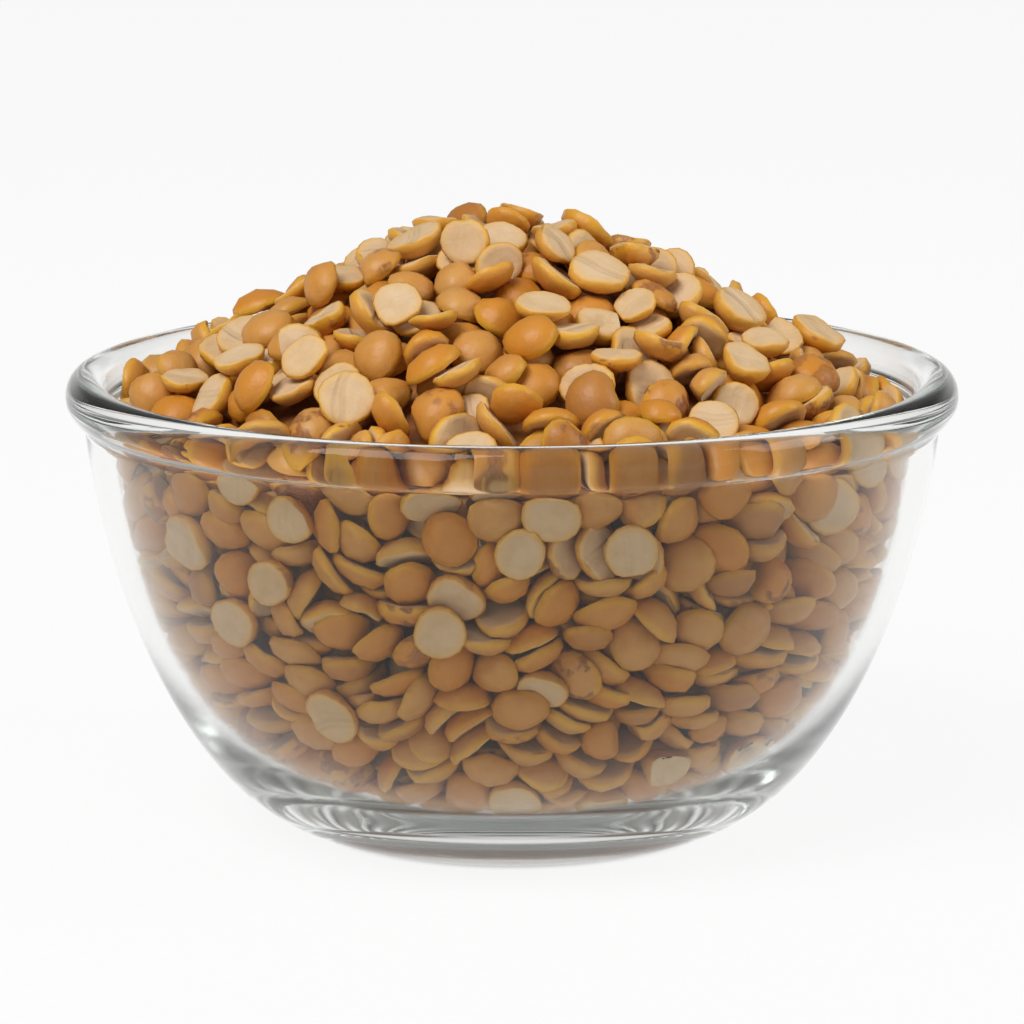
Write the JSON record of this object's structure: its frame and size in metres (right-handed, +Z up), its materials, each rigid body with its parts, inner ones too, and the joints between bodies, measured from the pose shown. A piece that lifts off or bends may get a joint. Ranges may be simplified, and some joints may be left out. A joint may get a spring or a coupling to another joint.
{
  "type": "glass bowl of dry split lentils",
  "caption": "Small round glass prep bowl with a beaded rim and thick floor, filled and heaped with dry split lentils.",
  "frame": {"origin": "centre of the bowl's flat foot, on the surface it stands on", "axes": "+Z up along the bowl's axis; the picture's view looks along +Y"},
  "size_m": [0.09, 0.09, 0.0641],
  "materials": {
    "clear_glass": "clear polished pressed glass",
    "dry_lentil": "dry, satin skins and matt cut faces, stands for dry seed"
  },
  "bodies": {
    "root": {"bowl": "clear_glass", "lentils": "dry_lentil"}
  },
  "joints": []
}
